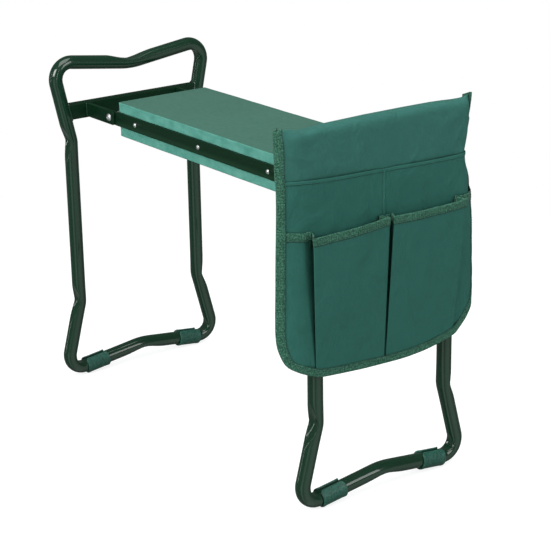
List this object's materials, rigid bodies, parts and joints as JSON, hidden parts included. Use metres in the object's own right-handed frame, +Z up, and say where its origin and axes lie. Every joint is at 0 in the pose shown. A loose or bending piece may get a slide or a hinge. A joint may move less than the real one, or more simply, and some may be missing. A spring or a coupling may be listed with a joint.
{
  "type": "garden kneeler seat",
  "caption": "Folding garden bench and kneeler with foam pads on both faces, fold-in tubular leg loops that double as hand rails, and a lift-off tool pouch.",
  "frame": {"origin": "on the floor, midway between the four foot soles and midway between the two leg loops", "axes": "+X along the bench towards the pouch end, +Y across the bench, +Z up"},
  "size_m": [0.6222, 0.315, 0.499],
  "materials": {
    "tube_paint": "glossy dark green powder coat",
    "rail_paint": "satin dark green powder coat",
    "zinc_steel": "bright zinc plate",
    "foot_plastic": "moulded, slightly glossy",
    "foam": "closed-cell EVA foam, matt fine grain",
    "core_board": "dark moulded board",
    "pouch_fabric": "coated plain-weave polyester",
    "edge_tape": "ribbed binding tape"
  },
  "bodies": {
    "seat": {"seat_board": "core_board", "foam_top": "foam", "foam_bottom": "foam", "side_rail_front": "rail_paint", "side_rail_rear": "rail_paint", "rail_rivets_front": "zinc_steel", "rail_rivets_rear": "zinc_steel", "pivot_bolts_left": "zinc_steel", "pivot_bolts_right": "zinc_steel", "pivot_nuts_left": "zinc_steel", "pivot_nuts_right": "zinc_steel", "pivot_washers_left": "zinc_steel", "pivot_washers_right": "zinc_steel"},
    "left_leg": {"left_leg_tube": "tube_paint", "left_crossbar": "rail_paint", "left_bracket_front": "rail_paint", "left_bracket_rear": "rail_paint", "left_foot_front": "foot_plastic", "left_foot_rear": "foot_plastic"},
    "right_leg": {"right_leg_tube": "tube_paint", "right_crossbar": "rail_paint", "right_bracket_front": "rail_paint", "right_bracket_rear": "rail_paint", "right_foot_front": "foot_plastic", "right_foot_rear": "foot_plastic"},
    "tool_pouch": {"pouch_panel": "pouch_fabric", "pouch_upper_pocket": "pouch_fabric", "pouch_pocket_left": "pouch_fabric", "pouch_pocket_right": "pouch_fabric", "pouch_edge_tape": "edge_tape", "pouch_pocket_tape": "edge_tape"}
  },
  "joints": [
    {"name": "left_leg_fold", "type": "hinge", "parent": "seat", "child": "left_leg", "pos_m": [-0.222, 0, 0.408], "axis": [0, -1, 0], "range_deg": [0, 94]},
    {"name": "right_leg_fold", "type": "hinge", "parent": "seat", "child": "right_leg", "pos_m": [0.222, 0, 0.408], "axis": [0, 1, 0], "range_deg": [0, 86.5]},
    {"name": "pouch_lift", "type": "slide", "parent": "right_leg", "child": "tool_pouch", "axis": [0, 0, 1], "range_m": [0, 0.08]}
  ]
}
